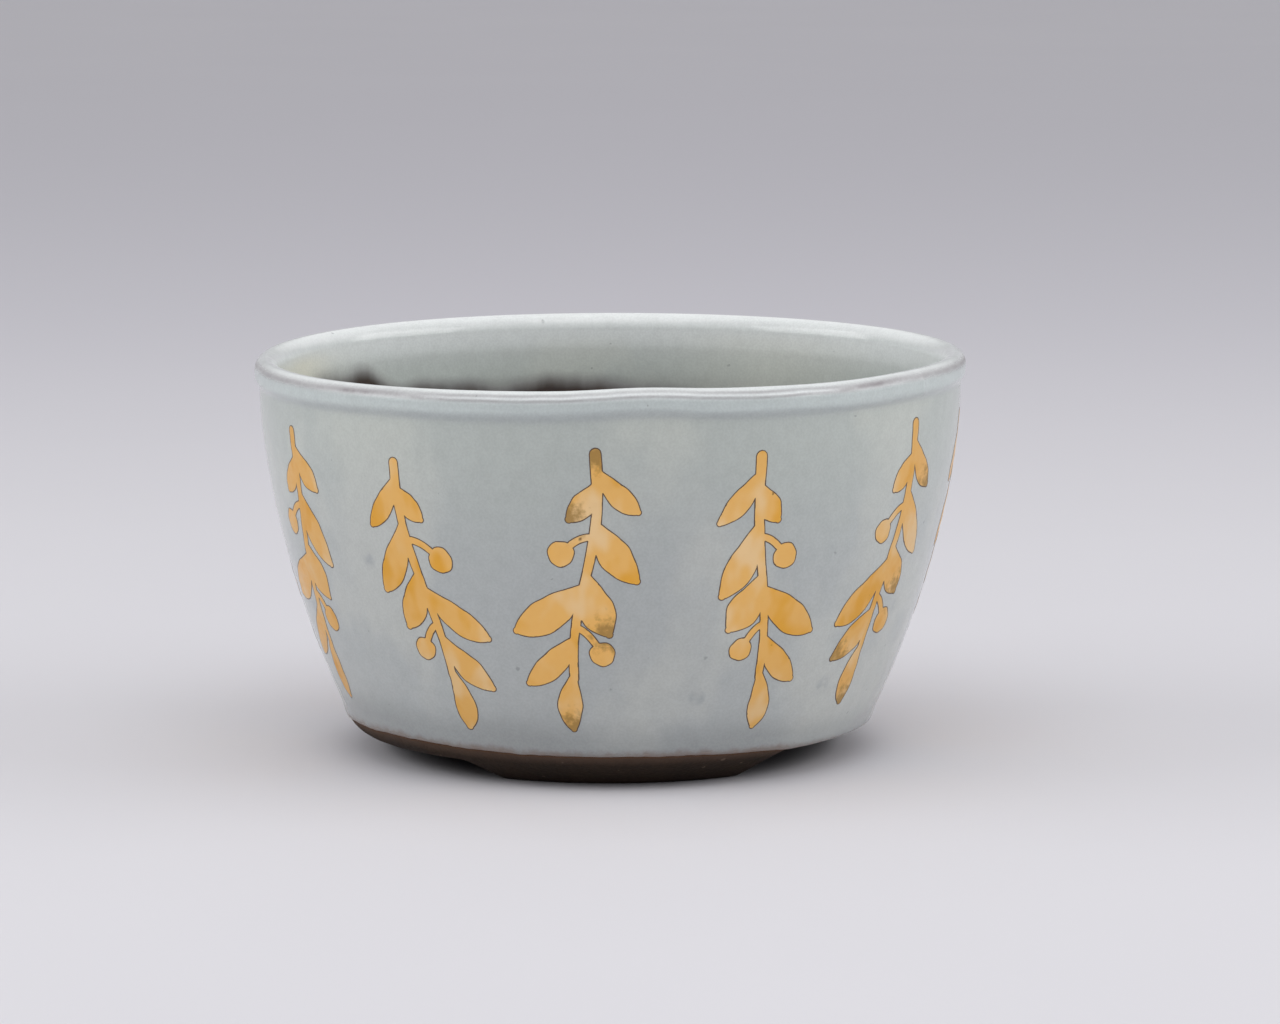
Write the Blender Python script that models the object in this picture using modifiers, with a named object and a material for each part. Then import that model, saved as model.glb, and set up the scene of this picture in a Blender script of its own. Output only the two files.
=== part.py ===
"""A small bowl thrown in dark stoneware, glazed down to a bare foot cut into three feet.

Metres, +Z up. The bowl stands on z = 0 with its axis on Z, and its front faces -Y.
A bearing is an angle about the axis, from the front (-Y) towards +X.
"""
import math

import bmesh
import bpy

# Outer wall and rim
RIM_RADIUS = 0.0600            # the rolled band under the lip, the widest part
RIM_HEIGHT = 0.0676            # the lip's ridge, where the rim runs level
RIDGE_INSET = 0.0018           # the ridge, in from the band
LIP_DROP = 0.0022              # the lip's outer round, from the ridge down to the band
BAND_DEPTH = 0.0051            # the ridge down to the groove under the band
BAND_UNDERSIDE = 0.0019        # the slope from the band in to the groove
BAND_PROUD = 0.0008            # the band, out from the wall below it
BASE_RADIUS = 0.0441           # where the wall turns under
BASE_HEIGHT = 0.0046           # that turn above the ground
BASE_ROUNDING = 0.0014
WALL_FULLNESS = 1.75           # 1 would be a straight cone

# The rim's hand-thrown waves: bearing and spread in degrees, then the rise
RIM_WAVES = (
    (-63.0, 42.0, -0.00110),
    (5.0, 6.5, 0.00050),
    (38.0, 10.0, -0.00025),
)
WAVE_DEPTH = 0.0230            # the wall is true again this far below the ridge

# Inside
LIP_THICKNESS = 0.0041
LIP_INNER_DROP = 0.0030        # the lip's inner round, from the ridge down
WALL_THICKNESS = 0.0037
FLOOR_THICKNESS = 0.0045
INSIDE_ROUNDING = 0.0160

# Foot ring and the three notches that part it into feet
FOOT_RADIUS = 0.0371
FOOT_WIDTH = 0.0090
FOOT_ROUNDING = 0.0006
RECESS_HEIGHT = 0.0054         # the hollow inside the foot ring
RECESS_LEAN = 0.0006           # the foot ring's inner side, in from upright
RECESS_ROUNDING = 0.0015
NOTCH_WIDTH = 0.0340
NOTCH_FLARE = 0.0012           # each side of a notch, wider at the ground
NOTCH_ROUNDING = 0.0010
NOTCH_HEIGHTS = (0.0050, 0.0044, 0.0037)    # right, back and left, cut by hand
FRONT_FOOT_BEARING = math.radians(2.8)

# Modelling
SEGMENTS = 96
WALL_STEPS = 8
INSIDE_STEPS = 7
ROUND_STEPS = 4
CORNER_STEPS = 3
CUT_MARGIN = 0.003             # how far a cutter runs past what it cuts
LEAN_STEP = 0.0001             # height step for reading the inner wall's lean
JOIN_ROUNDS = 30               # tries at where the inside rounding meets the wall
MERGE_DISTANCE = 0.00001
SHARP_ANGLE = math.radians(40)

# Looks
GLAZE_COLOUR = (0.42, 0.48, 0.46, 1.0)
CLAY_COLOUR = (0.075, 0.055, 0.045, 1.0)

GROOVE_HEIGHT = RIM_HEIGHT - BAND_DEPTH
WALL_TOP_RADIUS = RIM_RADIUS - BAND_PROUD
RIDGE_RADIUS = RIM_RADIUS - RIDGE_INSET
MOUTH_RADIUS = RIM_RADIUS - LIP_THICKNESS
INSIDE_FLOOR = RECESS_HEIGHT + FLOOR_THICKNESS
RING_INNER_RADIUS = FOOT_RADIUS - FOOT_WIDTH


def wall_radius(height):
    """Outer radius of the wall between the base and the groove."""
    rise = (GROOVE_HEIGHT - height) / (GROOVE_HEIGHT - BASE_HEIGHT)
    return WALL_TOP_RADIUS - (WALL_TOP_RADIUS - BASE_RADIUS) * max(rise, 0.0) ** WALL_FULLNESS


def inner_radius(height):
    return wall_radius(height) - WALL_THICKNESS


def inner_lean(height):
    """Angle of the inner wall from upright."""
    run = inner_radius(height + LEAN_STEP) - inner_radius(height - LEAN_STEP)
    return math.atan2(run, 2 * LEAN_STEP)


def spread(low, high, count):
    """count evenly spaced values from low to high."""
    return [low + (high - low) * i / (count - 1) for i in range(count)]


def quarter_round(centre, across, up, start, end):
    """Points on an ellipse about the centre, from one angle to another in degrees."""
    angles = spread(math.radians(start), math.radians(end), ROUND_STEPS)
    return [(centre[0] + across * math.cos(a), centre[1] + up * math.sin(a)) for a in angles]


def round_corner(before, corner, after, size):
    """A corner replaced by a short curve, never longer than half of either side."""
    def towards(point):
        length = math.dist(corner, point)
        share = min(size / length, 0.5)
        return [c + (p - c) * share for c, p in zip(corner, point)]

    start, end = towards(before), towards(after)
    curve = []
    for t in spread(0.0, 1.0, CORNER_STEPS):
        curve.append(tuple(
            (1 - t) ** 2 * s + 2 * t * (1 - t) * c + t ** 2 * e
            for s, c, e in zip(start, corner, end)
        ))
    return curve


def inside_profile():
    """From the middle of the inside floor, out and up to just under the lip."""
    join = INSIDE_FLOOR + INSIDE_ROUNDING
    for _ in range(JOIN_ROUNDS):
        join = INSIDE_FLOOR + INSIDE_ROUNDING * (1 - math.sin(inner_lean(join)))
    lean = inner_lean(join)
    centre = (
        inner_radius(join) - INSIDE_ROUNDING * math.cos(lean),
        INSIDE_FLOOR + INSIDE_ROUNDING,
    )
    angles = spread(-math.pi / 2, -lean, INSIDE_STEPS)
    bowl = [
        (centre[0] + INSIDE_ROUNDING * math.cos(a), centre[1] + INSIDE_ROUNDING * math.sin(a))
        for a in angles
    ]
    heights = spread(join, GROOVE_HEIGHT, WALL_STEPS)[1:]
    return [(0.0, INSIDE_FLOOR)] + bowl + [(inner_radius(z), z) for z in heights]


def lip_profile():
    """Over the lip from the mouth to the band, and in to the groove."""
    inner = quarter_round(
        (RIDGE_RADIUS, RIM_HEIGHT - LIP_INNER_DROP),
        RIDGE_RADIUS - MOUTH_RADIUS, LIP_INNER_DROP, 180, 90,
    )
    outer = quarter_round(
        (RIDGE_RADIUS, RIM_HEIGHT - LIP_DROP), RIDGE_INSET, LIP_DROP, 90, 0,
    )
    underside = []
    for t in spread(0.0, 1.0, ROUND_STEPS):
        ease = (1 - math.cos(math.pi * t)) / 2
        underside.append((RIM_RADIUS - BAND_PROUD * ease, GROOVE_HEIGHT + BAND_UNDERSIDE * (1 - t)))
    return inner + outer[1:] + underside


def outer_wall():
    """Points down the wall, from below the groove to above the base."""
    heights = spread(GROOVE_HEIGHT, BASE_HEIGHT, WALL_STEPS + 1)
    return [(wall_radius(z), z) for z in heights[1:-1]]


def base_turn():
    """The curve where the wall turns under. The glaze ends where it starts."""
    return round_corner(
        outer_wall()[-1], (BASE_RADIUS, BASE_HEIGHT), (FOOT_RADIUS, 0.0), BASE_ROUNDING,
    )


def outside_profile():
    """Down the wall, round under the base, over the foot ring and in to the middle."""
    base = (BASE_RADIUS, BASE_HEIGHT)
    foot = (FOOT_RADIUS, 0.0)
    ring = (RING_INNER_RADIUS, 0.0)
    recess = (RING_INNER_RADIUS - RECESS_LEAN, RECESS_HEIGHT)
    middle = (0.0, RECESS_HEIGHT)
    return (
        outer_wall()
        + base_turn()
        + round_corner(base, foot, ring, FOOT_ROUNDING)
        + round_corner(foot, ring, recess, FOOT_ROUNDING)
        + round_corner(ring, recess, middle, RECESS_ROUNDING)
        + [middle]
    )


def rim_rise(bearing):
    """How far the rim stands above or below its level line at a bearing."""
    rise = 0.0
    for centre, width, height in RIM_WAVES:
        apart = math.remainder(bearing - math.radians(centre), math.tau)
        rise += height * math.exp(-0.5 * (apart / math.radians(width)) ** 2)
    return rise


def wave_rim(mesh):
    """Lift and lower the top of the wall along the rim's waves."""
    start = RIM_HEIGHT - WAVE_DEPTH
    for vertex in mesh.vertices:
        x, y, z = vertex.co
        share = min(max((z - start) / (GROOVE_HEIGHT - start), 0.0), 1.0)
        share = share * share * (3 - 2 * share)
        vertex.co.z = z + rim_rise(math.atan2(x, -y)) * share


def make_material(name, colour, roughness):
    material = bpy.data.materials.new(name)
    material.use_nodes = True
    shader = material.node_tree.nodes["Principled BSDF"]
    shader.inputs["Base Color"].default_value = colour
    shader.inputs["Roughness"].default_value = roughness
    shader.inputs["Metallic"].default_value = 0.0
    material.diffuse_color = colour
    return material


def turned_mesh(name, profile):
    """A profile turned once about the Z axis."""
    line = bpy.data.meshes.new(name + "_profile")
    points = [(radius, 0.0, height) for radius, height in profile]
    line.from_pydata(points, [(i, i + 1) for i in range(len(points) - 1)], [])
    holder = bpy.data.objects.new(name + "_profile", line)
    bpy.context.scene.collection.objects.link(holder)
    screw = holder.modifiers.new("turn", 'SCREW')
    screw.axis = 'Z'
    screw.angle = math.tau
    screw.steps = SEGMENTS
    screw.render_steps = SEGMENTS
    screw.use_merge_vertices = True
    screw.merge_threshold = MERGE_DISTANCE
    bpy.context.view_layer.update()
    turned = holder.evaluated_get(bpy.context.evaluated_depsgraph_get())
    mesh = bpy.data.meshes.new_from_object(turned)
    bpy.data.objects.remove(holder)
    bpy.data.meshes.remove(line)
    mesh.name = name
    return mesh


def make_notch(name, bearing, height, collection):
    """A block with flared sides and rounded upper edges that cuts one notch."""
    flare = NOTCH_FLARE * (height + CUT_MARGIN) / height
    recess_radius = RING_INNER_RADIUS - RECESS_LEAN
    reach = max(recess_radius ** 2 - (NOTCH_WIDTH / 2 + flare) ** 2, 0.0) ** 0.5
    near_side = reach - CUT_MARGIN
    far_side = BASE_RADIUS + CUT_MARGIN
    block = bmesh.new()
    bmesh.ops.create_cube(block, size=1.0)
    for vertex in block.verts:
        is_top = vertex.co.z > 0
        half_width = NOTCH_WIDTH / 2 + (0.0 if is_top else flare)
        vertex.co.x = math.copysign(half_width, vertex.co.x)
        vertex.co.y = -near_side if vertex.co.y > 0 else -far_side
        vertex.co.z = height if is_top else -CUT_MARGIN
    upper_edges = [
        edge for edge in block.edges
        if all(v.co.z > 0 for v in edge.verts) and edge.verts[0].co.x == edge.verts[1].co.x
    ]
    bmesh.ops.bevel(
        block, geom=upper_edges, offset=NOTCH_ROUNDING, segments=ROUND_STEPS - 1,
        profile=0.5, affect='EDGES',
    )
    mesh = bpy.data.meshes.new(name)
    block.to_mesh(mesh)
    block.free()
    cutter = bpy.data.objects.new(name, mesh)
    cutter.rotation_euler.z = bearing
    cutter.display_type = 'WIRE'
    cutter.hide_render = True
    collection.objects.link(cutter)
    return cutter


def make_bowl(collection, cutters):
    mesh = turned_mesh("bowl", inside_profile() + lip_profile() + outside_profile())
    wave_rim(mesh)
    mesh.materials.append(make_material("celadon glaze", GLAZE_COLOUR, 0.22))
    mesh.materials.append(make_material("bare dark clay", CLAY_COLOUR, 0.75))
    glaze_line = base_turn()[0][1]
    for face in mesh.polygons:
        face.material_index = 1 if face.center.z < glaze_line else 0
    mesh.shade_smooth()
    mesh.set_sharp_from_angle(angle=SHARP_ANGLE)
    bowl = bpy.data.objects.new("bowl", mesh)
    collection.objects.link(bowl)
    for cutter in cutters:
        cut = bowl.modifiers.new(cutter.name, 'BOOLEAN')
        cut.operation = 'DIFFERENCE'
        cut.solver = 'EXACT'
        cut.object = cutter
    return bowl


def new_collection(name):
    collection = bpy.data.collections.new(name)
    bpy.context.scene.collection.children.link(collection)
    return collection


def main():
    for old in list(bpy.data.objects):
        bpy.data.objects.remove(old)
    parts = new_collection("footed bowl")
    cutting = new_collection("notch cutters")
    pitch = math.tau / len(NOTCH_HEIGHTS)
    cutters = []
    for index, height in enumerate(NOTCH_HEIGHTS):
        bearing = FRONT_FOOT_BEARING + pitch * (index + 0.5)
        cutters.append(make_notch(f"notch_{index + 1}", bearing, height, cutting))
    make_bowl(parts, cutters)


main()
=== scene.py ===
import random
from math import atan2, copysign, cos, degrees, dist, exp, hypot, pi, radians, remainder, sin, sqrt, tau

import bmesh
import bpy
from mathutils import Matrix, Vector, noise
from mathutils.geometry import delaunay_2d_cdt


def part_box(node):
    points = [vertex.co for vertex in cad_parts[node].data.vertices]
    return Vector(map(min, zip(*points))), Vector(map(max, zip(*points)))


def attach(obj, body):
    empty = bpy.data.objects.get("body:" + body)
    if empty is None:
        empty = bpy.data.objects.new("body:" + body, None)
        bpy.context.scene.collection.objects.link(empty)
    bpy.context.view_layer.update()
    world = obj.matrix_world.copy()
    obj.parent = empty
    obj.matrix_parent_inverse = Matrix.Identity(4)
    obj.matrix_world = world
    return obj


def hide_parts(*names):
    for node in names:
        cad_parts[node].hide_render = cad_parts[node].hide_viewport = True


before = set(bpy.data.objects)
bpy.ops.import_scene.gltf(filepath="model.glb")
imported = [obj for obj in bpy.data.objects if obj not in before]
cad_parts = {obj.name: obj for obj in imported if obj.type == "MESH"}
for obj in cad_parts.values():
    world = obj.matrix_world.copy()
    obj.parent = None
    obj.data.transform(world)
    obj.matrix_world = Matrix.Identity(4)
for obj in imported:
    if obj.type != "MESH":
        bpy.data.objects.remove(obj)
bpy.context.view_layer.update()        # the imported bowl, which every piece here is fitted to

# All sizes are in millimetres unless a note says otherwise. A bearing is an angle
# in degrees about the bowl's axis, from the front (-Y) towards +X.
mm = 0.001
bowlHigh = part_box("bowl")[1]    # the solid's highest corner
scene = bpy.context.scene


# Helpers for building shader trees

# Adds a shader node; inputs may be plain values or sockets to link from
def addNode(tree, kind, inputs=None, **settings):
    node = tree.nodes.new("ShaderNode" + kind)
    for name, value in settings.items():
        setattr(node, name, value)
    for name, value in (inputs or {}).items():
        if isinstance(value, bpy.types.NodeSocket):
            tree.links.new(value, node.inputs[name])
        else:
            node.inputs[name].default_value = value
    return node


def calc(tree, operation, first, second=0.0, clamp=False):
    node = addNode(tree, "Math", {0: first, 1: second}, operation=operation, use_clamp=clamp)
    return node.outputs[0]


def plus(tree, first, second):
    return calc(tree, "ADD", first, second)


def times(tree, first, second, clamp=False):
    return calc(tree, "MULTIPLY", first, second, clamp)


# Smooth change from low to high as the value goes from start to end
def fade(tree, value, start, end, low=0.0, high=1.0):
    reach = {"Value": value, "From Min": start, "From Max": end, "To Min": low, "To Max": high}
    return addNode(tree, "MapRange", reach, interpolation_type="SMOOTHSTEP").outputs[0]


# One at the centre value, fading to nothing halfWidth away
def stripe(tree, value, centre, halfWidth):
    away = calc(tree, "ABSOLUTE", calc(tree, "SUBTRACT", value, centre))
    return fade(tree, away, 0.0, halfWidth, 1.0, 0.0)


def mixColour(tree, amount, first, second, mode="MIX"):
    node = addNode(tree, "Mix", {0: amount, 6: first, 7: second}, data_type="RGBA", blend_type=mode)
    return node.outputs[2]


# Lays a tone of the look over the colour, as strong as the tone's own span makes the value
def tint(tree, look, tone, colour, value):
    return mixColour(tree, fade(tree, value, *look[tone + "Span"]), colour, look[tone])


def readAttributes(tree, *names):
    return [addNode(tree, "Attribute", attribute_name=name).outputs["Fac"] for name in names]


def newGroup(name, inputs, output):
    group = bpy.data.node_groups.new(name, "ShaderNodeTree")
    for label, value in inputs.items():
        socket = group.interface.new_socket(label, in_out="INPUT", socket_type="NodeSocketFloat")
        socket.default_value = value
    group.interface.new_socket(output, in_out="OUTPUT", socket_type="NodeSocketFloat")
    return group, group.nodes.new("NodeGroupInput").outputs, group.nodes.new("NodeGroupOutput").inputs


def useGroup(tree, group, **values):
    node = tree.nodes.new("ShaderNodeGroup")
    node.node_tree = group
    for name, value in values.items():
        node.inputs[name].default_value = value
    return node.outputs[0]


def newMaterial(name):
    material = bpy.data.materials.new(name)
    material.use_nodes = True
    tree = material.node_tree
    return material, tree, tree.nodes["Principled BSDF"]


# Links what every glazed, bare or gilded surface ends in; relief is strength and distance
def finishSurface(tree, shader, colour, rough, height, relief):
    strength, distance = relief
    bump = addNode(tree, "Bump", {"Height": height, "Strength": strength, "Distance": distance})
    for socket, result in (("Base Color", colour), ("Roughness", rough), ("Normal", bump.outputs[0])):
        tree.links.new(result, shader.inputs[socket])


def addObject(name, data):
    made = bpy.data.objects.new(name, data)
    scene.collection.objects.link(made)
    return made


def storeMeasures(mesh, values):
    for name, numbers in values.items():
        layer = mesh.attributes.new(name, "FLOAT", "POINT")
        layer.data.foreach_set("value", numbers)


# Effects that the glaze, the clay and the gilding share

# Soft patches, Scale to the metre, drawn out up and down the wall by Stretch
def makePatchGroup():
    group, given, result = newGroup(
        "soft patches", {"Scale": 60.0, "Stretch": 1.0, "Fineness": 3.0, "Shift": 0.0}, "Patches")
    place = addNode(group, "TexCoord").outputs["Object"]
    split = addNode(group, "SeparateXYZ", {0: place}).outputs
    across = plus(group, split[0], given["Shift"])
    upright = calc(group, "DIVIDE", split[2], given["Stretch"])
    where = addNode(group, "CombineXYZ", {0: across, 1: split[1], 2: upright}).outputs[0]
    cloud = addNode(group, "TexNoise", {
        "Vector": where, "Scale": given["Scale"], "Detail": given["Fineness"], "Roughness": 0.55,
    }).outputs["Fac"]
    group.links.new(fade(group, cloud, 0.25, 0.75), result["Patches"])
    return group


# Small uneven dots: Spacing is cells to the metre, Size a share of a cell and Share
# how many cells have one. Their edges wander by up to 0.6 mm.
def makeSpeckGroup():
    group, given, result = newGroup(
        "specks", {"Spacing": 200.0, "Size": 0.2, "Share": 0.3, "Shift": 0.0}, "Specks")
    place = addNode(group, "TexCoord").outputs["Object"]
    ragged = addNode(group, "TexNoise", {"Vector": place, "Scale": 1600.0, "Detail": 1.0})
    nudge = addNode(group, "VectorMath", {0: ragged.outputs["Color"], 1: (0.0006,) * 3},
                    operation="MULTIPLY").outputs[0]
    move = addNode(group, "CombineXYZ", {0: given["Shift"]}).outputs[0]
    spot = addNode(group, "VectorMath", {0: place, 1: nudge}, operation="ADD").outputs[0]
    spot = addNode(group, "VectorMath", {0: spot, 1: move}, operation="ADD").outputs[0]
    cells = addNode(group, "TexVoronoi", {"Vector": spot, "Scale": given["Spacing"]}).outputs
    own = addNode(group, "SeparateColor", {0: cells["Color"]}).outputs[0]
    kept = calc(group, "LESS_THAN", own, given["Share"])
    swell = plus(group, calc(group, "DIVIDE", own, given["Share"]), 0.35)
    size = times(group, given["Size"], swell)
    dot = fade(group, cells["Distance"], times(group, size, 0.35), size, 1.0, 0.0)
    group.links.new(times(group, dot, kept), result["Specks"])
    return group


# Fine unevenness for relief
def makeGrainGroup():
    group, given, result = newGroup(
        "fine grain", {"Scale": 1500.0, "Coarse": 300.0, "Mix": 0.4}, "Height")
    place = addNode(group, "TexCoord").outputs["Object"]
    layers = []
    for scale, detail in ((given["Scale"], 3.0), (given["Coarse"], 2.0)):
        layer = addNode(group, "TexNoise", {"Vector": place, "Scale": scale, "Detail": detail})
        layers.append(layer.outputs["Fac"])
    both = addNode(group, "Mix", {0: given["Mix"], 2: layers[0], 3: layers[1]}).outputs[0]
    group.links.new(both, result["Height"])
    return group


softPatches = makePatchGroup()
specks = makeSpeckGroup()
fineGrain = makeGrainGroup()
print("shared shader effects ready")


# The sets of soft patches that a look gives under those names
def layPatches(tree, look, *names):
    return [useGroup(tree, softPatches, **look[name]) for name in names]


# The bowl's form, as thrown and trimmed, and the marks of the hand on it

bowl = {
    "rimRadius": bowlHigh.x / mm,     # the rolled band, the widest part
    "ridgeInset": 1.8,
    "lipDrop": 2.2,                   # the lip's outer round
    "bandDepth": 5.1,                 # ridge down to the groove under the band
    "bandUnderside": 1.9,
    "bandProud": 0.8,
    "baseRadius": 44.1,
    "baseHeight": 4.6,
    "baseRounding": 1.4,
    "fullness": 1.75,                 # 1 would be a straight cone
    "waveDepth": 23.0,                # the rim's waves die out this far down
    "lipThickness": 4.1,
    "lipInnerDrop": 3.0,
    "wallThickness": 3.7,
    "insideFloor": 9.9,
    "insideRounding": 16.0,
    "footRadius": 37.1,
    "footWidth": 9.0,
    "footRounding": 0.6,
    "recessHeight": 5.4,
    "recessLean": 0.6,
    "recessRounding": 1.5,
    "notchWidth": 34.0,
    "notchFlare": 1.2,
    "notchRounding": 1.0,
    "notchHeights": (5.0, 4.4, 3.7),  # right, back and left, cut by hand
    "frontFoot": 2.8,                 # bearing of the front foot's middle
    "cutMargin": 3.0,                 # how far the notches' blocks run past the foot

    "throwingPitch": 3.6,             # one turn of the thrower's spiral, outside
    "throwingDepth": 0.022,
    "insidePitch": 6.5,
    "insideDepth": 0.10,
    "ripple": 0.035,                  # slow unevenness of the glazed wall
    "rippleSize": 11.0,
    "rippleRadius": 52.0,
    # where those marks start and over what length they grow
    "marksUnderGroove": (1.0, 6.0),
    "marksAboveFoot": (7.0, 5.0),
    "insideMarks": 9.0,               # inside they grow from the floor's middle
    "insideMarksTop": 10.0,           # and die out towards the groove's height
    "liftOutward": (0.5, 4.0),        # the base's rise starts this far out from the foot
    "liftUpward": (13.0, 7.0),        # and ends at this height, likewise
    "turnReady": 7.6,                 # the base's rounding is worked out from this height
    "turnLead": 2.0,
    "glazeRoll": 0.26,                # the glaze's thick lower edge, out from the clay
    "rollFade": 3.2,                  # and how far up it thins out
    "drip": (58.4, 0.5, 0.20),        # run of glaze over the band: bearing, spread, depth
    "dripOutward": (59.0, 0.5),
    "dripUpward": (62.6, 1.2),
    "poolLine": 49.0,                 # top of the dark glaze inside

    # hand marks around the bowl: bearing, spread in degrees, and rise
    "rimWaves": ((-63, 42, -1.10), (5, 6.5, 0.50), (38, 10, -0.25)),
    "grooveWander": ((-2, 10, 0.35), (17, 4, -0.35), (49, 9, -0.55),
                     (-120, 20, 0.30), (150, 16, -0.30)),
    "baseWaves": ((60, 15, 0.75),),
    "glazeStops": ((-50, 18, 0.60), (62, 18, -2.50), (105, 22, -0.90),
                   (165, 20, -0.60), (-140, 22, 0.45)),
    "poolLobes": ((-105, 9, 8.8), (-119.5, 6, 6.2), (-129.5, 4.5, 7.4), (-143, 8, 5.6),
                  (-157, 8, 2.9), (-170, 8, 4.9), (176, 8, 3.1), (162, 8, 2.6),
                  (120, 14, 1.5), (60, 9, 3.2), (10, 14, 2.4), (-40, 11, 3)),
    # and where a finish shows: bearing, spread in degrees, and strength
    "lineSplits": ((-8, 24, 1), (26, 14, 0.7), (170, 30, 0.6)),
    "creamLobes": ((-101, 11, 1.2), (147, 11, 0.35), (48, 12, 0.8), (-20, 10, 0.6)),
    # uneven edges around the bowl, in layers: size, fineness and seed
    "glazeUneven": ((0.22, 7, 3), (0.12, 26, 5)),
    "poolUneven": ((1, 6, 1), (0.4, 18, 2)),

    "columns": 360,
    # points in each stretch of the bowl's section
    "rows": {"floor": 15, "insideRounding": 18, "insideWall": 34, "lip": 15, "band": 4, "underBand": 13,
             "wall": 66, "wallFoot": 12, "baseTurn": 24, "glaze": 12, "glazeRoll": 6, "bareBase": 14,
             "footRounding": 5, "recessRounding": 6, "recess": 7, "notchRounding": 4},
    "floorMiddle": 1.5,               # the innermost ring of points, inside
    "recessMiddle": 2.0,              # and in the recess under the bowl
    "joinTries": 30,                  # at where the inside rounding meets the wall
    "halfWall": 1.8,                  # parts the wall's inside from its outside
    "edgeReach": 12.0,                # distances to the glaze's edge are kept within this
    "poolReach": 20.0,                # and those into the dark glaze within this
    "sharpAngle": 38.0,
}

wallTop = bowl["rimRadius"] - bowl["bandProud"]
ridgeRadius = bowl["rimRadius"] - bowl["ridgeInset"]
ringInner = bowl["footRadius"] - bowl["footWidth"]
rows = bowl["rows"]


# The bowl's hand marks of one kind, added up at a bearing
def handMarks(kind, bearing):
    total = 0.0
    for centre, spread, rise in bowl[kind]:
        apart = remainder(bearing - centre, 360.0)
        total += rise * exp(-0.5 * (apart / spread) ** 2)
    return total


# The ridge where the rim runs level: its highest wave reaches the solid's top
ridge = bowlHigh.z / mm - max(handMarks("rimWaves", bearing) for bearing in range(-180, 180))
grooveHeight = ridge - bowl["bandDepth"]


# Smooth noise that closes on itself around the bowl
def roundNoise(bearing, size, seed):
    turn = radians(bearing)
    return noise.noise(Vector((cos(turn) * size, sin(turn) * size, seed)))


def uneven(kind, bearing):
    return sum(size * roundNoise(bearing, fineness, seed) for size, fineness, seed in bowl[kind])


def steps(low, high, count):
    return [low + (high - low) * i / (count - 1) for i in range(count)]


def easeIn(share):
    share = min(max(share, 0.0), 1.0)
    return share * share * (3 - 2 * share)


def wallRadius(height):
    drop = (grooveHeight - height) / (grooveHeight - bowl["baseHeight"])
    fall = wallTop - bowl["baseRadius"]
    return wallTop - fall * max(drop, 0.0) ** bowl["fullness"]


def innerRadius(height):
    return wallRadius(height) - bowl["wallThickness"]


def innerLean(height, step=0.1):
    return atan2(innerRadius(height + step) - innerRadius(height - step), 2 * step)


def waveLift(bearing, height):
    start = ridge - bowl["waveDepth"]
    return handMarks("rimWaves", bearing) * easeIn((height - start) / (grooveHeight - start))


# Where the base was trimmed a little higher, outside the foot
def baseLift(bearing, radius, height):
    (out, outEase), (top, topEase) = bowl["liftOutward"], bowl["liftUpward"]
    clear = easeIn((radius - bowl["footRadius"] - out) / outEase)
    return handMarks("baseWaves", bearing) * clear * easeIn((top - height) / topEase)


# The outer wall's throwing lines and slow ripples, in or out
def wallMarks(bearing, height):
    turn = radians(bearing)
    (top, topEase), (foot, footEase) = bowl["marksUnderGroove"], bowl["marksAboveFoot"]
    growth = easeIn((grooveHeight - top - height) / topEase) * easeIn((height - foot) / footEase)
    lines = sin(tau * height / bowl["throwingPitch"] + turn)
    size, around = bowl["rippleSize"], bowl["rippleRadius"]
    spot = Vector((sin(turn) * around / size, cos(turn) * around / size, height / size))
    return growth * (bowl["throwingDepth"] * lines + bowl["ripple"] * noise.noise(spot))


# A point of the bowl from its bearing, radius and height, with the hand's waves added
def onBowl(bearing, radius, height):
    turn = radians(bearing)
    lifted = height + waveLift(bearing, height) + baseLift(bearing, radius, height)
    return Vector((radius * sin(turn), -radius * cos(turn), lifted)) * mm


# A corner as a short curve, never longer than half of either side
def roundCorner(before, corner, after, size, count):
    ends = []
    for point in (before, after):
        length = dist(corner, point)
        share = min(size / length, 0.5)
        ends.append([c + (p - c) * share for c, p in zip(corner, point)])
    return [
        tuple((1 - t) ** 2 * s + 2 * t * (1 - t) * c + t ** 2 * e
              for s, c, e in zip(ends[0], corner, ends[1]))
        for t in steps(0.0, 1.0, count)
    ]


# Down the last of the wall, round under the base and in to the foot
def makeBasePath():
    ready = bowl["turnReady"]
    base, foot = (bowl["baseRadius"], bowl["baseHeight"]), (bowl["footRadius"], 0.0)
    wall = [(wallRadius(z), z) for z in steps(ready + bowl["turnLead"], ready, rows["wallFoot"])]
    turn = roundCorner(wall[-1], base, foot, bowl["baseRounding"], rows["baseTurn"])
    corner = roundCorner(base, foot, (ringInner, 0.0), bowl["footRounding"], 2)[0]
    path = wall + turn + [corner]
    reach = [0.0]
    for first, second in zip(path, path[1:]):
        reach.append(reach[-1] + dist(first, second))
    return path, reach, reach[len(wall)]


basePath, baseReach, turnReach = makeBasePath()


# The point that far along the base path, moved straight out from it
def alongBase(reach, out=0.0):
    reach = min(max(reach, 0.0), baseReach[-1] - 0.001)
    index = next(i for i in range(1, len(baseReach)) if reach < baseReach[i])
    first, second = basePath[index - 1], basePath[index]
    length = baseReach[index] - baseReach[index - 1]
    share = (reach - baseReach[index - 1]) / length
    along = ((second[0] - first[0]) / length, (second[1] - first[1]) / length)
    return (first[0] + along[0] * share * length - along[1] * out,
            first[1] + along[1] * share * length + along[0] * out)


# How far along the base path the glaze runs at a bearing
def glazeReach(bearing):
    return turnReach - handMarks("glazeStops", bearing) - uneven("glazeUneven", bearing)


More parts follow.
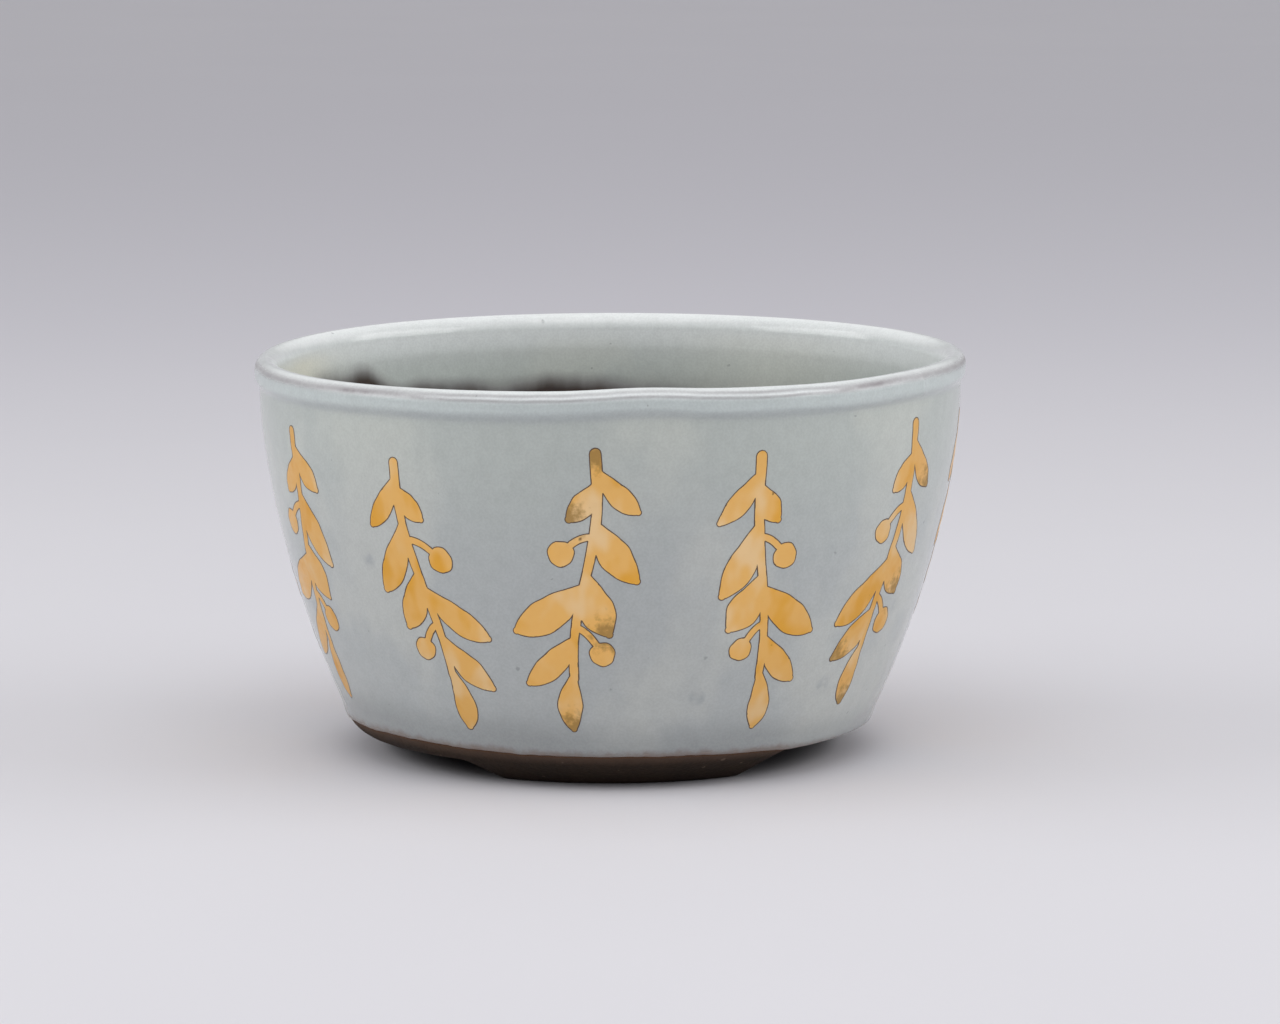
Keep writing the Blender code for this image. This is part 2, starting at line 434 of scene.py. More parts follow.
# Over the floor from its middle, round into the wall and up to the groove's height
def insideSection(turn):
    floor, rounding = bowl["insideFloor"], bowl["insideRounding"]

    def swirl(length):
        return bowl["insideDepth"] * sin(tau * length / bowl["insidePitch"] + turn)

    join = floor + rounding
    for _ in range(bowl["joinTries"]):
        join = floor + rounding * (1 - sin(innerLean(join)))
    lean = innerLean(join)
    centre = innerRadius(join) - rounding * cos(lean)
    points = [(r, floor + swirl(r) * easeIn(r / bowl["insideMarks"]))
              for r in steps(bowl["floorMiddle"], centre, rows["floor"])]
    length = centre
    angles = steps(-pi / 2, -lean, rows["insideRounding"])
    for angle in angles[1:]:
        length += rounding * (angles[1] - angles[0])
        size = rounding - swirl(length)
        points.append((centre + size * cos(angle), floor + rounding + size * sin(angle)))
    heights = steps(join, grooveHeight, rows["insideWall"])
    for height in heights[1:]:
        length += heights[1] - heights[0]
        growth = easeIn((grooveHeight - height) / bowl["insideMarksTop"])
        points.append((innerRadius(height) - swirl(length) * growth, height))
    return points


# Over the lip, down the rolled band and in under it to the groove
def rimSection(bearing):
    mouthReach = bowl["lipThickness"] - bowl["ridgeInset"]
    points = [(ridgeRadius + mouthReach * cos(a), ridge - bowl["lipInnerDrop"] * (1 - sin(a)))
              for a in steps(pi, pi / 2, rows["lip"])]
    points += [(ridgeRadius + bowl["ridgeInset"] * cos(a), ridge - bowl["lipDrop"] * (1 - sin(a)))
               for a in steps(pi / 2, 0.0, rows["lip"])[1:]]
    bandLow = grooveHeight + bowl["bandUnderside"] + handMarks("grooveWander", bearing)
    points += [(bowl["rimRadius"], z)
               for z in steps(ridge - bowl["lipDrop"], bandLow, rows["band"])[1:-1]]
    for share in steps(0.0, 1.0, rows["underBand"]):
        ease = (1 - cos(pi * share)) / 2
        points.append((bowl["rimRadius"] - bowl["bandProud"] * ease,
                       bandLow + (grooveHeight - bandLow) * share))
    middle, spread, depth = bowl["drip"]
    (out, outEase), (up, upEase) = bowl["dripOutward"], bowl["dripUpward"]
    drip = depth * exp(-0.5 * (remainder(bearing - middle, 360.0) / spread) ** 2)
    return [(r + drip * easeIn((r - out) / outEase) * easeIn((z - up) / upEase), z) for r, z in points]


# The glaze's rolled lower edge, then the bare clay under the base and into the foot
def baseSection(bearing):
    edge, roll = glazeReach(bearing), bowl["glazeRoll"]
    points = []
    for reach in steps(0.0, edge - roll, rows["glaze"])[:-1]:
        thick = easeIn((reach - edge + bowl["rollFade"]) / (bowl["rollFade"] - roll))
        points.append(alongBase(reach, roll * thick))
    for angle in steps(pi / 2, 0.0, rows["glazeRoll"]):
        points.append(alongBase(edge - roll + roll * cos(angle), roll * sin(angle)))
    glazed = len(points)
    points += [alongBase(reach) for reach in steps(edge, baseReach[-1], rows["bareBase"])[1:]]
    base, foot = (bowl["baseRadius"], bowl["baseHeight"]), (bowl["footRadius"], 0.0)
    ring, recess = (ringInner, 0.0), (ringInner - bowl["recessLean"], bowl["recessHeight"])
    centre = (0.0, bowl["recessHeight"])
    points += roundCorner(base, foot, ring, bowl["footRounding"], rows["footRounding"])[1:]
    points += roundCorner(foot, ring, recess, bowl["footRounding"], rows["footRounding"])
    points += roundCorner(ring, recess, centre, bowl["recessRounding"], rows["recessRounding"])
    points += [(r, bowl["recessHeight"])
               for r in steps(points[-1][0], bowl["recessMiddle"], rows["recess"])[1:]]
    return points, glazed


# The section turned all the way round, with closer columns where the glaze ran over
def makeTurnedMesh():
    bearings = steps(-180.0, 180.0, bowl["columns"] + 1)[:-1]
    middle, spread, _ = bowl["drip"]
    bearings = sorted(bearings + [middle + spread * i * 0.5 for i in range(-5, 6)])
    points, count, glazed = [], 0, 0
    for bearing in bearings:
        column = insideSection(radians(bearing)) + rimSection(bearing)
        for height in steps(grooveHeight, basePath[0][1], rows["wall"])[1:-1]:
            column.append((wallRadius(height) + wallMarks(bearing, height), height))
        lower, lowerGlazed = baseSection(bearing)
        glazed = len(column) + lowerGlazed
        column += lower
        count = len(column)
        points += [onBowl(bearing, radius, height) for radius, height in column]
    floorCentre, recessCentre = len(points), len(points) + 1
    points.append(onBowl(0.0, 0.0, bowl["insideFloor"]))
    points.append(onBowl(0.0, 0.0, bowl["recessHeight"]))
    faces, skins = [], []
    for index in range(len(bearings)):
        here, there = index * count, (index + 1) % len(bearings) * count
        faces.append((floorCentre, here, there))
        skins.append(0)
        for row in range(count - 1):
            faces.append((here + row, here + row + 1, there + row + 1, there + row))
            skins.append(0 if row < glazed - 1 else 1)
        faces.append((recessCentre, there + count - 1, here + count - 1))
        skins.append(1)
    mesh = bpy.data.meshes.new("rawBowl")
    mesh.from_pydata(points, [], faces)
    mesh.polygons.foreach_set("material_index", skins)
    mesh.update()
    return mesh


# Three flared blocks with rounded upper edges, which cut the foot ring into feet
def makeNotchBlocks():
    blocks = bmesh.new()
    below, half = bowl["cutMargin"], bowl["notchWidth"] / 2
    for index, height in enumerate(bowl["notchHeights"]):
        flare = bowl["notchFlare"] * (height + below) / height
        nearSide = sqrt((ringInner - bowl["recessLean"]) ** 2 - (half + flare) ** 2) - below
        made = bmesh.ops.create_cube(blocks, size=1.0)["verts"]
        for vertex in made:
            isTop = vertex.co.z > 0
            vertex.co.x = copysign(half + (0.0 if isTop else flare), vertex.co.x)
            vertex.co.y = -nearSide if vertex.co.y > 0 else -(bowl["baseRadius"] + below)
            vertex.co.z = height if isTop else -below
        upper = [
            edge for edge in {e for v in made for e in v.link_edges}
            if all(v.co.z > 0 for v in edge.verts) and edge.verts[0].co.x == edge.verts[1].co.x
        ]
        rounded = bmesh.ops.bevel(blocks, geom=upper, offset=bowl["notchRounding"], profile=0.5,
                                  segments=rows["notchRounding"], affect="EDGES")
        turn = radians(bowl["frontFoot"] + 360.0 / len(bowl["notchHeights"]) * (index + 0.5))
        for vertex in {v for v in made if v.is_valid} | set(rounded["verts"]):
            x, y, z = vertex.co
            vertex.co = Vector((x * cos(turn) - y * sin(turn),
                                x * sin(turn) + y * cos(turn), z)) * mm
    mesh = bpy.data.meshes.new("notchBlocks")
    blocks.to_mesh(mesh)
    blocks.free()
    return mesh


# Measures that the finishes follow: how far a place is from the lip (below nought
# inside), from the glaze's edge (below nought on clay) and into the dark glaze inside,
# how far the lip's dark line has split in two, and where the inside glaze turns cream
def measureBowl(mesh):
    values = {"fromLip": [], "toEdge": [], "intoPool": [], "lineSplit": [], "cream": []}
    deepest, edges = bowl["poolReach"], {}
    for vertex in mesh.vertices:
        x, y, z = vertex.co / mm
        radius = hypot(x, y)
        bearing = degrees(atan2(x, -y))
        z -= baseLift(bearing, radius, z)
        level = z - waveLift(bearing, z)
        middle = ridgeRadius if level > grooveHeight else innerRadius(level) + bowl["halfWall"]
        isOutside = radius >= middle or level < bowl["insideFloor"] - 2.0
        lip = ridge + handMarks("rimWaves", bearing) - z
        values["fromLip"].append(lip if isOutside else -lip)
        values["lineSplit"].append(min(handMarks("lineSplits", bearing), 1.0))
        values["cream"].append(0.0 if isOutside else min(handMarks("creamLobes", bearing), 1.0))
        key = round(bearing, 1)
        if key not in edges:
            edges[key] = alongBase(glazeReach(key))
        edgeRadius, edgeHeight = edges[key]
        away = min(hypot(edgeRadius - radius, edgeHeight - z), bowl["edgeReach"])
        isUnder = radius < edgeRadius - 2.0 and level < bowl["recessHeight"] + 0.5
        values["toEdge"].append(-away if z < edgeHeight - 0.01 or isUnder else away)
        line = bowl["poolLine"] + handMarks("poolLobes", bearing) + uneven("poolUneven", bearing)
        values["intoPool"].append(-deepest if isOutside else max(min(line - z, deepest), -deepest))
    storeMeasures(mesh, values)


# The turned mesh with its notches cut; all that is cut is bare clay
def makeBowl(materials):
    raw = addObject("rawBowl", makeTurnedMesh())
    blocks = addObject("notchBlocks", makeNotchBlocks())
    for material in materials:
        raw.data.materials.append(material)
    cut = raw.modifiers.new("notches", "BOOLEAN")
    cut.operation = "DIFFERENCE"
    cut.solver = "EXACT"
    cut.object = blocks
    bpy.context.view_layer.update()
    mesh = bpy.data.meshes.new_from_object(raw.evaluated_get(bpy.context.evaluated_depsgraph_get()))
    for made in (raw, blocks):
        bpy.data.objects.remove(made)
    mesh.name = "thrownBowl"
    for face in mesh.polygons:
        x, y, z = face.center / mm
        if z < bowl["recessHeight"] + 0.1 and hypot(x, y) < bowl["baseRadius"] - 2.0:
            face.material_index = 1
    measureBowl(mesh)
    mesh.shade_smooth()
    mesh.set_sharp_from_angle(angle=radians(bowl["sharpAngle"]))
    return addObject("thrownBowl", mesh)


# Celadon glaze, with the dark glaze that pools inside

celadon = {
    "upper": (0.505, 0.546, 0.514, 1.0),
    "lower": (0.485, 0.516, 0.51, 1.0),
    "band": (0.575, 0.632, 0.618, 1.0),
    # inside tones: painted light near the lip, then painted shade deeper in the bowl
    "insideLitTop": (0.86, 0.905, 0.89, 1.0),
    "insideShadedLower": (0.6, 0.65, 0.615, 1.0),
    "insideDeepShade": (0.33, 0.35, 0.33, 1.0),
    "cream": (0.94, 0.93, 0.78, 1.0),
    # grey of thick glaze in the groove, with painted shade added
    "groove": (0.385, 0.415, 0.42, 1.0),
    "lipLine": (0.17, 0.13, 0.145, 1.0),
    # painted highlight along the lip's top
    "lipHighlight": (0.9, 0.93, 0.922, 1.0),
    # thin glaze over dark clay towards the foot, with painted shade where the wall turns under
    "thinGlazeAndShade": (0.325, 0.345, 0.345, 1.0),
    "edgeBrown": (0.19, 0.12, 0.09, 1.0),
    "speck": (0.19, 0.2, 0.205, 1.0),
    "smudge": (0.34, 0.365, 0.385, 1.0),
    "poolHaze": (0.215, 0.195, 0.2, 1.0),
    "pool": (0.036, 0.029, 0.029, 1.0),
    "poolAmber": (0.085, 0.05, 0.03, 1.0),
    # clouds, marks and grain, as the shared effects take them
    "broad": {"Scale": 38.0, "Stretch": 1.6},
    "small": {"Scale": 420.0, "Fineness": 4.0, "Shift": 0.3},
    "fine": {"Scale": 2600.0, "Fineness": 1.0},
    "runs": {"Scale": 130.0, "Stretch": 3.5, "Shift": 0.7},
    "smudges": {"Spacing": 95.0, "Size": 0.20, "Share": 0.16, "Shift": 0.05},
    "dots": {"Spacing": 330.0, "Size": 0.13, "Share": 0.16},
    "grain": {"Scale": 2200.0, "Coarse": 260.0, "Mix": 0.75},
    # where each tone starts and ends, and then its strength at the two ends
    "lowerSpan": (6.0, 34.0),
    "bandSpan": (3.4, 5.4, 1.0, 0.0),
    "insideShadedLowerSpan": (2.5, 9.5),
    "insideDeepShadeSpan": (9.5, 14.5),
    "creamCloudSpan": (2.0, 7.0, 0.0, 0.14),
    "creamPatchSpan": (1.5, 4.5, 0.0, 0.95),
    "lipHighlightSpan": (0.9, 2.2, 0.8, 0.0),
    "thinGlazeAndShadeSpan": (0.0, 9.5, 0.85, 0.0),
    "edgeBrownSpan": (-0.4, 1.2, 0.75, 0.0),
    "poolHazeSpan": (-2.8, 0.0, 0.0, 0.62),
    "amberSpan": (0.8, 6.0, 0.6, 0.0),
    "poolSpan": (-1.3, 1.3),
    "creamCloudBroad": (0.5, 0.9),
    "creamPatchBroad": (0.0, 0.8, 0.55, 1.0),
    "mottledBroad": (0.35, 0.9, 0.0, 0.45),
    "mottledSmall": (0.1, 0.9, 0.3),
    "smudgeSpan": (0.0, 0.8, 0.0, 0.6),
    "dotStrength": 0.45,
    "dotDepth": 0.25,
    # how far soft patches and runs shift where a tone lies, in millimetres
    "drift": {"lower": 10.0, "groove": 0.6, "line": 0.4, "thinGlazeAndShade": 3.0, "brown": -0.8, "pool": 0.9},
    # how much they lighten or darken it all
    "smallTone": (0.975, 1.02),
    "fineTone": (0.965, 1.03),
    "grooveLine": (4.30, 1.4),        # how far below the lip it is, and half its width
    "grooveStrength": (0.26, 0.52),
    # the lip's dark line as one, and then where it has split into an inner and an outer
    "lineHalfWidth": (1.05, 0.42),
    "innerLine": (1.00, 0.62),
    "outerLine": (1.15, 1.42),
    "splitSpan": (0.1, 0.34, 0.66, 1.0),
    "innerStrength": (0.48, 0.34),
    "outerStrength": (0.36, 0.50),
    "roughness": (0.09, 0.15),
    "edgeRoughSpan": (0.0, 1.5, 0.22, 0.0),
    "lineRough": 0.5,
    "refraction": 1.5,
    "relief": (0.10, 0.00012),
}


def makeCeladon():
    look, drift = celadon, celadon["drift"]
    material, tree, shader = newMaterial("celadonGlaze")
    fromLip, toEdge, intoPool, lineSplit, cream = readAttributes(
        tree, "fromLip", "toEdge", "intoPool", "lineSplit", "cream")
    broad, small, fine, runs = layPatches(tree, look, "broad", "small", "fine", "runs")
    depth = calc(tree, "ABSOLUTE", fromLip)
    isInside = calc(tree, "LESS_THAN", fromLip, 0.0)
    wander = calc(tree, "SUBTRACT", broad, 0.5)

    # Greener under the rim, greyer lower down and paler on the band; inside, painted light near the lip
    # turning to painted shade deeper down
    colour = tint(tree, look, "lower", look["upper"], plus(tree, depth, times(tree, wander, drift["lower"])))
    colour = tint(tree, look, "band", colour, depth)
    # painted light inside near the lip, darkening into painted shade further down
    within = tint(tree, look, "insideShadedLower", look["insideLitTop"], depth)
    within = tint(tree, look, "insideDeepShade", within, depth)
    colour = mixColour(tree, isInside, colour, within)
    creamy = times(tree, fade(tree, broad, *look["creamCloudBroad"]),
                   fade(tree, depth, *look["creamCloudSpan"]))
    patch = times(tree, cream, fade(tree, broad, *look["creamPatchBroad"]))
    patch = times(tree, patch, fade(tree, depth, *look["creamPatchSpan"]))
    colour = mixColour(tree, calc(tree, "MAXIMUM", creamy, patch), colour, look["cream"])

    # The groove under the band, where the glaze lies thick and grey, darkened further with painted shade
    groove = stripe(tree, plus(tree, fromLip, times(tree, wander, drift["groove"])), *look["grooveLine"])
    groove = times(tree, groove, fade(tree, small, 0.0, 1.0, *look["grooveStrength"]))
    colour = mixColour(tree, groove, colour, look["groove"])

    # The lip, with painted light on its top, and thin lines where the glaze breaks over its edge
    # painted highlight on the lip's top, strongest at the ridge
    colour = tint(tree, look, "lipHighlight", colour, depth)
    lineAt = plus(tree, fromLip, times(tree, wander, drift["line"]))
    halfWidth = fade(tree, lineSplit, 0.0, 1.0, *look["lineHalfWidth"])
    inner = stripe(tree, lineAt, fade(tree, lineSplit, 0.0, 1.0, *look["innerLine"]), halfWidth)
    outer = stripe(tree, lineAt, fade(tree, lineSplit, 0.0, 1.0, *look["outerLine"]), halfWidth)
    inner = times(tree, inner, fade(tree, broad, 0.2, 0.8, *look["innerStrength"]))
    outer = times(tree, outer, fade(tree, small, 0.1, 0.8, *look["outerStrength"]))
    line = plus(tree, inner, outer)
    line = times(tree, line, fade(tree, lineSplit, *look["splitSpan"]), clamp=True)
    colour = mixColour(tree, line, colour, look["lipLine"])

    # Marks in the glaze, and its thin brown lower edge
    smudges = useGroup(tree, specks, **look["smudges"])
    smudges = times(tree, smudges, fade(tree, small, *look["smudgeSpan"]))
    colour = mixColour(tree, smudges, colour, look["smudge"])
    dots = useGroup(tree, specks, **look["dots"])
    colour = mixColour(tree, times(tree, dots, look["dotStrength"]), colour, look["speck"])
    # darker and greyer towards the foot: thin glaze over dark clay, and painted shade under the wall's turn
    above = plus(tree, toEdge, times(tree, wander, drift["thinGlazeAndShade"]))
    colour = tint(tree, look, "thinGlazeAndShade", colour, above)
    above = plus(tree, toEdge, times(tree, small, drift["brown"]))
    colour = tint(tree, look, "edgeBrown", colour, above)
    tone = times(tree, fade(tree, small, 0.0, 1.0, *look["smallTone"]),
                 fade(tree, fine, 0.0, 1.0, *look["fineTone"]))
    tones = addNode(tree, "CombineColor", {0: tone, 1: tone, 2: tone}).outputs[0]
    colour = mixColour(tree, 1.0, colour, tones, "MULTIPLY")

    # Dark glaze inside, soft and streaky where it meets the pale one
    pooled = plus(tree, intoPool, times(tree, calc(tree, "SUBTRACT", runs, 0.5), drift["pool"]))
    colour = tint(tree, look, "poolHaze", colour, pooled)
    amber = times(tree, fade(tree, pooled, *look["amberSpan"]), runs)
    mottled = times(tree, fade(tree, broad, *look["mottledBroad"]),
                    fade(tree, small, *look["mottledSmall"]))
    amber = calc(tree, "MAXIMUM", amber, mottled)
    poolTone = mixColour(tree, amber, look["pool"], look["poolAmber"])
    colour = mixColour(tree, fade(tree, pooled, *look["poolSpan"]), colour, poolTone)

    # Glossy, but for the lower edge and the lip's lines, with fine pits
    rough = fade(tree, small, 0.0, 1.0, *look["roughness"])
    rough = plus(tree, rough, fade(tree, toEdge, *look["edgeRoughSpan"]))
    rough = plus(tree, rough, times(tree, line, look["lineRough"]))
    shader.inputs["IOR"].default_value = look["refraction"]
    pits = calc(tree, "SUBTRACT", useGroup(tree, fineGrain, **look["grain"]),
                times(tree, dots, look["dotDepth"]))
    finishSurface(tree, shader, colour, rough, pits, look["relief"])
    return material


# Bare clay of the base and foot

bareClay = {
    "deep": (0.0175, 0.0115, 0.008, 1.0),
    "toasted": (0.05, 0.032, 0.021, 1.0),
    "nearGlaze": (0.11, 0.07, 0.05, 1.0),
    "edgeOrange": (0.13, 0.064, 0.034, 1.0),
    "grit": (0.19, 0.14, 0.105, 1.0),
    "broad": {"Scale": 110.0, "Fineness": 4.0},
    "fine": {"Scale": 1500.0, "Fineness": 3.0},
    "gritDots": {"Spacing": 650.0, "Size": 0.28, "Share": 0.10},
    "grain": {"Scale": 1900.0, "Coarse": 520.0, "Mix": 0.45},
    "nearGlazeSpan": (-2.6, 0.0, 0.0, 0.75),
    "edgeOrangeSpan": (-0.7, 0.0, 0.0, 0.7),
    "broadShare": 0.55,
    "fineShare": 0.45,
    "gritStrength": 0.5,
    "gritRise": 0.3,
    "roughness": (0.72, 0.90),
    "gloss": 0.18,
    "relief": (0.55, 0.0004),
}


def makeClay():
    look = bareClay
    material, tree, shader = newMaterial("bareClay")
    toEdge = readAttributes(tree, "toEdge")[0]
    broad, fine = layPatches(tree, look, "broad", "fine")
    mixed = plus(tree, times(tree, broad, look["broadShare"]), times(tree, fine, look["fineShare"]))
    colour = mixColour(tree, mixed, look["deep"], look["toasted"])
    colour = tint(tree, look, "nearGlaze", colour, toEdge)
    colour = tint(tree, look, "edgeOrange", colour, toEdge)
    grit = useGroup(tree, specks, **look["gritDots"])
    colour = mixColour(tree, times(tree, grit, look["gritStrength"]), colour, look["grit"])
    rough = fade(tree, broad, 0.0, 1.0, *look["roughness"])
    shader.inputs["Specular IOR Level"].default_value = look["gloss"]
    rise = plus(tree, useGroup(tree, fineGrain, **look["grain"]), times(tree, grit, look["gritRise"]))
    finishSurface(tree, shader, colour, rough, rise, look["relief"])
    return material


thrownBowl = makeBowl([makeCeladon(), makeClay()])
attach(thrownBowl, "root")
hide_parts("bowl")
print("bowl turned, notched and glazed:", len(thrownBowl.data.polygons), "faces")


# Gilding: trailing leaf sprigs, evenly spaced around the wall

sprigStyle = {
    "count": 12,
    "first": -4.0,                # bearing of the first sprig
    "top": 59.0,
    "bottom": 19.0,               # the stem's end, with one more leaf below it
    "lean": 5.0,                  # the stem's foot, to one side of its top
    "sway": 0.9,
    "stemWidth": 1.45,
    "pairs": (0.10, 0.33, 0.56, 0.79),    # where leaves spring, as shares of the stem
    "swell": (0.80, 1.00, 1.08, 0.90),    # and how big they are there
    "leafLength": 12.2,
    "leafWidth": 4.75,
    "leafSpread": 38.0,           # degrees from the stem
    "endLeaf": (9.6, 3.7, 0.1),   # length, width and bend
    "stagger": 0.030,             # how far apart the two leaves of a pair spring
    "leafBend": 0.07,
    "leafFullness": 0.85,         # below 1 a leaf is broader towards its ends
    "leafWobble": ((0.045, 8), (0.02, 21)),   # two waves of its edge: size and closeness
    "berryWobble": ((0.04, 3), (0.02, 7)),
    "berries": ((1, 1), (3, -1)),  # pair and side where a berry hangs in a leaf's place
    "byBerry": 0.76,              # and the leaf before it is that much shorter
    "berryHang": 0.55,
    "stalkBow": 0.8,
    "berryRadius": 1.9,
    "berrySpread": 12.0,
    "stalkWidth": 0.95,
    "tipWidth": 1.0,
    "outline": 0.22,              # dark line round the gold
    "proud": 0.03,                # the gold lies almost flush
    "sunk": 0.10,
    "grid": 1.5,
    "points": {"cap": 7, "leaf": 27, "berry": 33, "stem": 40, "stalk": 14},
    "wornShare": 0.18,
    "wornReach": 5.0,
    "seed": 41,
    # what is drawn by lot for each sprig, leaf and berry, between two ends
    "vary": {"top": (0.0, 4.0), "bottom": (0.0, 3.0), "lean": (0.6, 1.1), "sway": (0.7, 1.2),
             "place": (-0.008, 0.008), "spread": (-5.0, 7.0), "length": (0.9, 1.08),
             "width": (0.88, 1.12), "berry": (0.9, 1.1), "slant": (1.15, 1.5), "tip": (0.7, 1.1)},
}


# A brush stroke along a path, with its width at each point and round ends
def strokeOutline(path, widths):
    left, right, caps = [], [], []
    for index, point in enumerate(path):
        along = (path[min(index + 1, len(path) - 1)] - path[max(index - 1, 0)]).normalized()
        across = Vector((-along.y, along.x))
        left.append(point + across * widths[index] / 2)
        right.append(point - across * widths[index] / 2)
        if index in (0, len(path) - 1):
            way = 1 if index else -1
            caps.append([
                point + (along * cos(a) * way - across * sin(a) * way) * widths[index] / 2
                for a in steps(-pi / 2, pi / 2, sprigStyle["points"]["cap"])[1:-1]
            ])
    return right + caps[1][::-1] + left[::-1] + caps[0][::-1]


# A leaf from its root, as one brush stroke that swells and ends blunt
def leafOutline(root, angle, length, width, bend, chance):
    along = Vector((cos(angle), sin(angle)))
    across = Vector((-along.y, along.x))
    phase = chance.uniform(0, tau)
    slant = chance.uniform(*sprigStyle["vary"]["slant"])
    tip = sprigStyle["tipWidth"] * chance.uniform(*sprigStyle["vary"]["tip"])
    (size, often), (fineSize, fineOften) = sprigStyle["leafWobble"]
    path, widths = [], []
    for u in steps(0.0, 1.0, sprigStyle["points"]["leaf"]):
        t = 0.3 * u + 0.7 * (1 - cos(pi * u)) / 2
        path.append(root + along * (length * t) + across * (bend * length * (sin(pi * t * 0.8))))
        full = max(sin(pi * t ** slant), 0.0) ** sprigStyle["leafFullness"]
        wobble = 1 + size * sin(often * t + phase) + fineSize * sin(fineOften * t + 2 * phase)
        widths.append(tip + (width * wobble - tip) * full)
    return strokeOutline(path, widths), path[-1]


def berryOutline(centre, radius, chance):
    phase = chance.uniform(0, tau)
    (size, often), (fineSize, fineOften) = sprigStyle["berryWobble"]
    ring = []
    for angle in steps(0.0, tau, sprigStyle["points"]["berry"])[:-1]:
        wobble = 1 + size * sin(often * angle + phase) + fineSize * sin(fineOften * angle)
        ring.append(centre + Vector((cos(angle), sin(angle))) * (radius * wobble))
    return ring


# The outline pushed outwards by that amount
def grown(outline, amount):
    result = []
    for index, point in enumerate(outline):
        after = outline[(index + 1) % len(outline)]
        along = (after - outline[index - 1]).normalized()
        result.append(point + Vector((along.y, -along.x)) * amount)
    return result


# The outlines of one sprig, flat: x along the wall from its bearing and y up the wall
def drawSprig(index, chance):
    style, vary = sprigStyle, sprigStyle["vary"]
    side = 1 if index % 2 else -1
    top = style["top"] - chance.uniform(*vary["top"])
    bottom = style["bottom"] + chance.uniform(*vary["bottom"])
    lean = side * style["lean"] * chance.uniform(*vary["lean"])
    sway = -side * style["sway"] * chance.uniform(*vary["sway"])

    def stemPoint(t):
        return Vector((lean * (t - 0.5) + sway * sin(tau * t * 0.9),
                       top + (bottom - top) * t))

    along = steps(0.0, 1.0, style["points"]["stem"])
    path = [stemPoint(t) for t in along]
    widths = [style["stemWidth"] * (1.1 - 0.3 * t) * (1 + 0.06 * sin(21 * t + index)) for t in along]
    shapes, tips = [strokeOutline(path, widths)], [path[0]]
    for pair, (t, swell) in enumerate(zip(style["pairs"], style["swell"])):
        for hand in (-1, 1):
            here = t + hand * style["stagger"] * side + chance.uniform(*vary["place"])
            root = stemPoint(here)
            ahead = stemPoint(here + 0.02) - root
            spread = radians(style["leafSpread"] + chance.uniform(*vary["spread"]))
            angle = atan2(ahead.y, ahead.x) + hand * spread
            length = style["leafLength"] * swell * chance.uniform(*vary["length"])
            if (pair + 1, hand * side) in style["berries"]:
                length *= style["byBerry"]
            if (pair, hand * side) in style["berries"]:
                angle += hand * radians(style["berrySpread"])
                hang = root + Vector((cos(angle), sin(angle))) * length * style["berryHang"]
                bow = [root.lerp(hang, u) + Vector((0.0, style["stalkBow"] * sin(pi * u)))
                       for u in steps(0.0, 1.0, style["points"]["stalk"])]
                shapes.append(strokeOutline(bow, [style["stalkWidth"]] * len(bow)))
                radius = style["berryRadius"] * chance.uniform(*vary["berry"])
                shapes.append(berryOutline(hang, radius, chance))
                continue
            width = style["leafWidth"] * swell * chance.uniform(*vary["width"])
            outline, tip = leafOutline(root, angle, length, width, -style["leafBend"] * hand, chance)
            shapes.append(outline)
            tips.append(tip)
    start = stemPoint(0.98)
    down = stemPoint(1.0) - start
    length, width, bend = style["endLeaf"]
    outline, tip = leafOutline(start, atan2(down.y, down.x), length, width, bend * side, chance)
    return shapes + [outline], tips + [tip]


def wallPoint(bearing, height, out=0.0):
    return onBowl(bearing, wallRadius(height) + wallMarks(bearing, height) + out, height)


def wallNormal(bearing, height):
    across = wallPoint(bearing + 0.3, height) - wallPoint(bearing - 0.3, height)
    up = wallPoint(bearing, height + 0.3) - wallPoint(bearing, height - 0.3)
    return across.cross(up).normalized()


# Points inside the outlines' box, so that the gold bends with the wall
def fillGrid(points, grid):
    low = Vector((min(p.x for p in points), min(p.y for p in points)))
    high = Vector((max(p.x for p in points), max(p.y for p in points)))
    return [
        low + Vector(((i + 0.5 * (j % 2)) * grid, j * grid))
        for i in range(int((high.x - low.x) / grid) + 1)
        for j in range(int((high.y - low.y) / grid) + 1)
    ]


